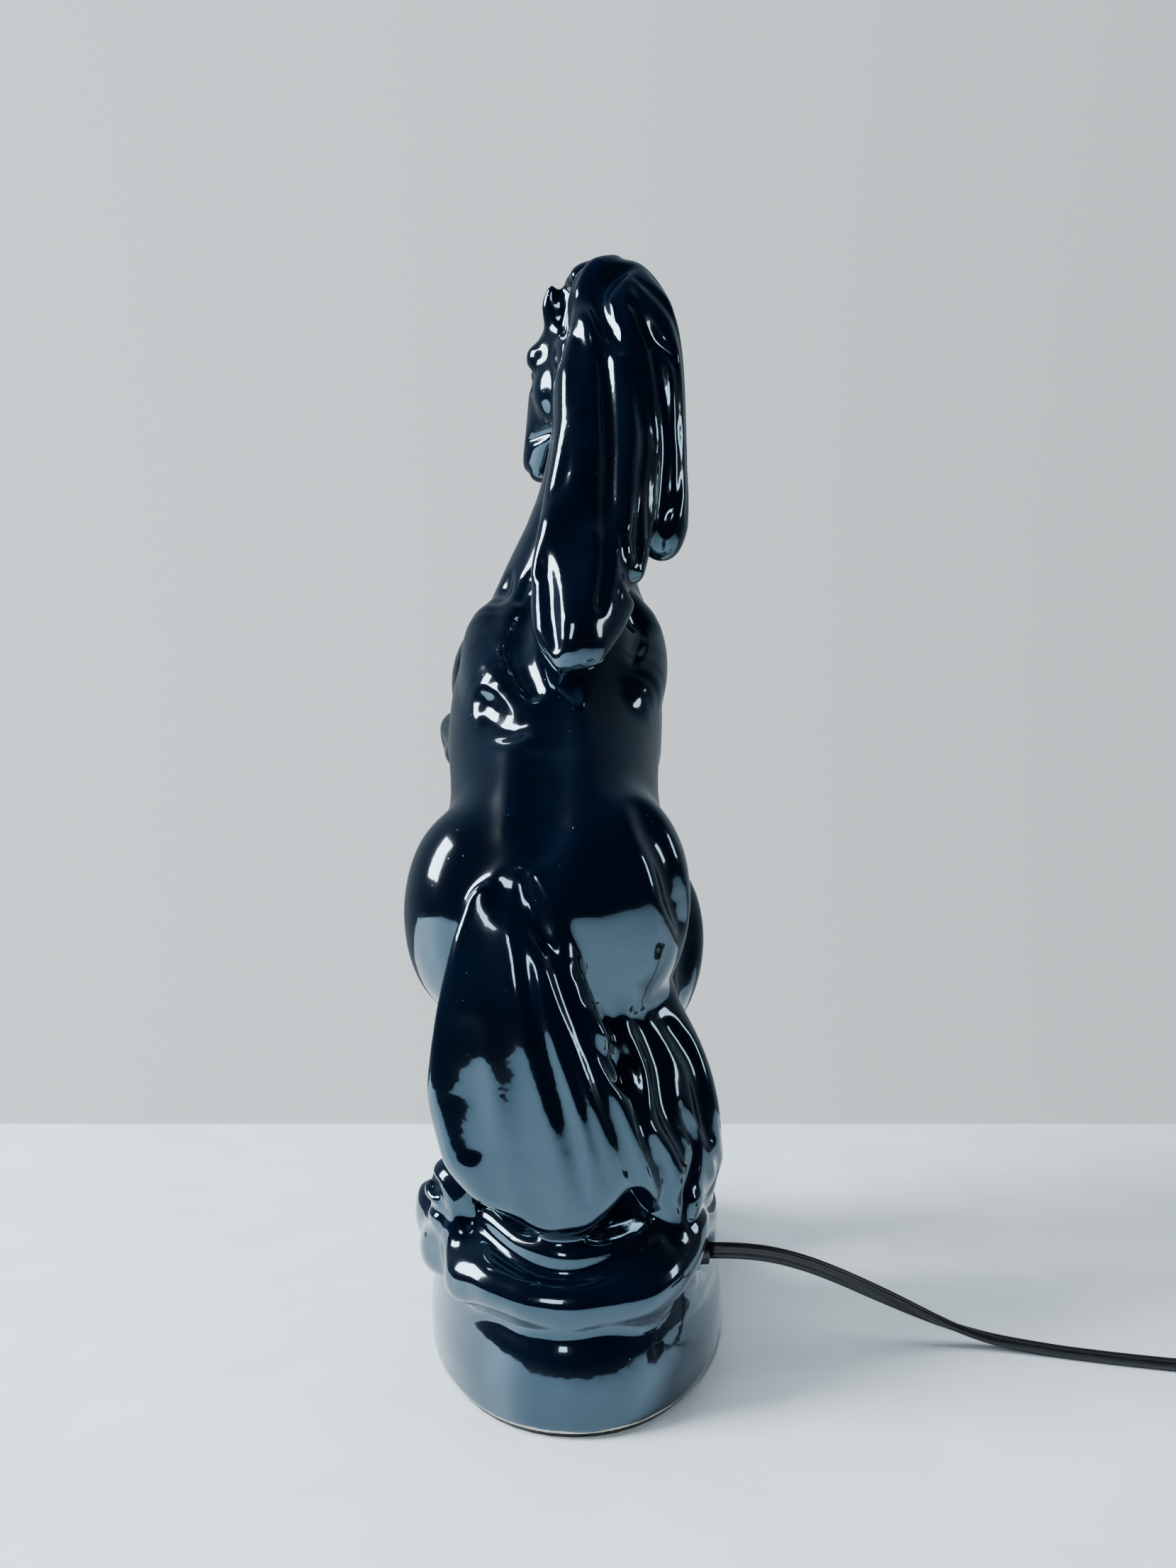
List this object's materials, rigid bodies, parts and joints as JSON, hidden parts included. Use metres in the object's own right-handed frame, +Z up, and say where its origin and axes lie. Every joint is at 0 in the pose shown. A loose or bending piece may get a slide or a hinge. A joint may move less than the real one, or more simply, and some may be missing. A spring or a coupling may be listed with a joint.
{
  "type": "tv lamp",
  "caption": "Tall glossy black ceramic lamp shaped as a rearing horse on an oval rock base, with a hidden bulb holder, flat cord and plug.",
  "frame": {"origin": "centre of the oval base on the surface the lamp stands on", "axes": "+Z up, +Y the way the horse faces, +X the horse's right"},
  "size_m": [0.3322, 0.2372, 0.3916],
  "materials": {
    "black_glaze": "mirror-gloss black glaze with a faint blue sparkle, over a cream body",
    "felt": "pressed felt, matt",
    "zinc_steel": "zinc plated",
    "fibre_washer": "matt black",
    "socket_brass": "lacquered brass, slightly dulled",
    "liner_card": "waxed insulating card",
    "black_bakelite": "moulded phenolic, semi-gloss",
    "bulb_insulator": "black glass insulator and solder tip",
    "bulb_cap": "thin pressed brass",
    "bulb_glass": "inside-frosted glass",
    "stem_glass": "clear pinched glass",
    "tungsten": "drawn wire",
    "cord_black": "flat black vinyl, slight sheen"
  },
  "bodies": {
    "lamp": {"base_shell": "black_glaze", "rock_mound": "black_glaze", "front_rocks": "black_glaze", "torso": "black_glaze", "left_hind_leg": "black_glaze", "right_hind_leg": "black_glaze", "left_foreleg": "black_glaze", "right_foreleg": "black_glaze", "neck_and_head": "black_glaze", "mane": "black_glaze", "tail": "black_glaze", "felt_pad": "felt", "threaded_tube": "zinc_steel", "clamp_washer": "zinc_steel", "clamp_nut": "zinc_steel", "deck_washer": "fibre_washer", "lock_nut": "socket_brass", "socket_cap": "socket_brass", "cap_screw": "zinc_steel", "socket_shell": "socket_brass", "socket_liner": "liner_card", "socket_core": "black_bakelite", "screw_shell": "socket_brass", "centre_contact": "socket_brass", "terminal_screws": "zinc_steel", "cord_grommet": "fibre_washer", "inner_lead": "cord_black", "cord_run": "cord_black", "cord_coil": "cord_black", "coil_tie": "fibre_washer", "plug_body": "black_bakelite", "plug_blades": "socket_brass"},
    "bulb_carrier": {"bulb_tip": "bulb_insulator"},
    "bulb": {"bulb_base": "bulb_cap", "bulb_glass": "bulb_glass", "bulb_stem": "stem_glass", "bulb_filament": "tungsten"},
    "switch": {"switch_shaft": "socket_brass", "switch_key": "black_bakelite"}
  },
  "joints": [
    {"name": "bulb_lift", "type": "slide", "parent": "lamp", "child": "bulb_carrier", "axis": [0, 0, 1], "range_m": [0, 0.0242]},
    {"name": "bulb_turn", "type": "hinge", "parent": "bulb_carrier", "child": "bulb", "pos_m": [0.008, 0.04, 0], "axis": [0, 0, 1], "range_deg": [0, 2402]},
    {"name": "switch_turn", "type": "hinge", "parent": "lamp", "child": "switch", "pos_m": [0.008, 0.04, 0.056], "axis": [0.7071, 0.7071, 0], "continuous": true}
  ],
  "couplings": [
    {"joint": "bulb_turn", "follows": "bulb_lift", "rad_per_m": 1731.4}
  ]
}
